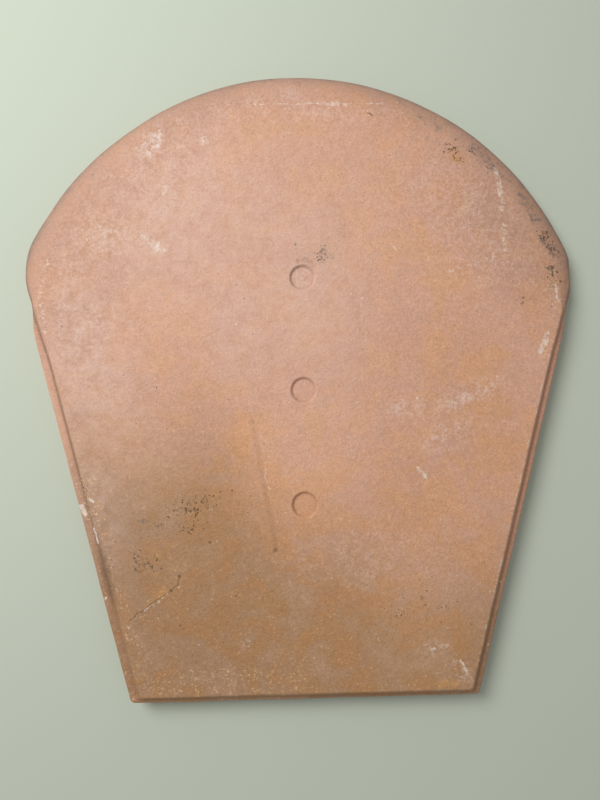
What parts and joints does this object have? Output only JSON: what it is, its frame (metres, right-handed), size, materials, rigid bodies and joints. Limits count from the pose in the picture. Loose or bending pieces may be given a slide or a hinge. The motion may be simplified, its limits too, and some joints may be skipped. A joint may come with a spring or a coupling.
{
  "type": "clay ridge end roof tile",
  "caption": "Pressed clay roof tile with an arched, roll-edged head, tapered sides, a stepped edge, round fixing marks and a hollow back.",
  "frame": {"origin": "centre of the tile's bounding box in plan, on the level of the back rim that it lies on", "axes": "+X to the right of the face, +Y towards the crown of the arch, +Z out of the face"},
  "size_m": [0.4206, 0.474, 0.024],
  "materials": {
    "fired_clay": "matt"
  },
  "bodies": {
    "root": {"ridge_end_tile": "fired_clay"}
  },
  "joints": []
}
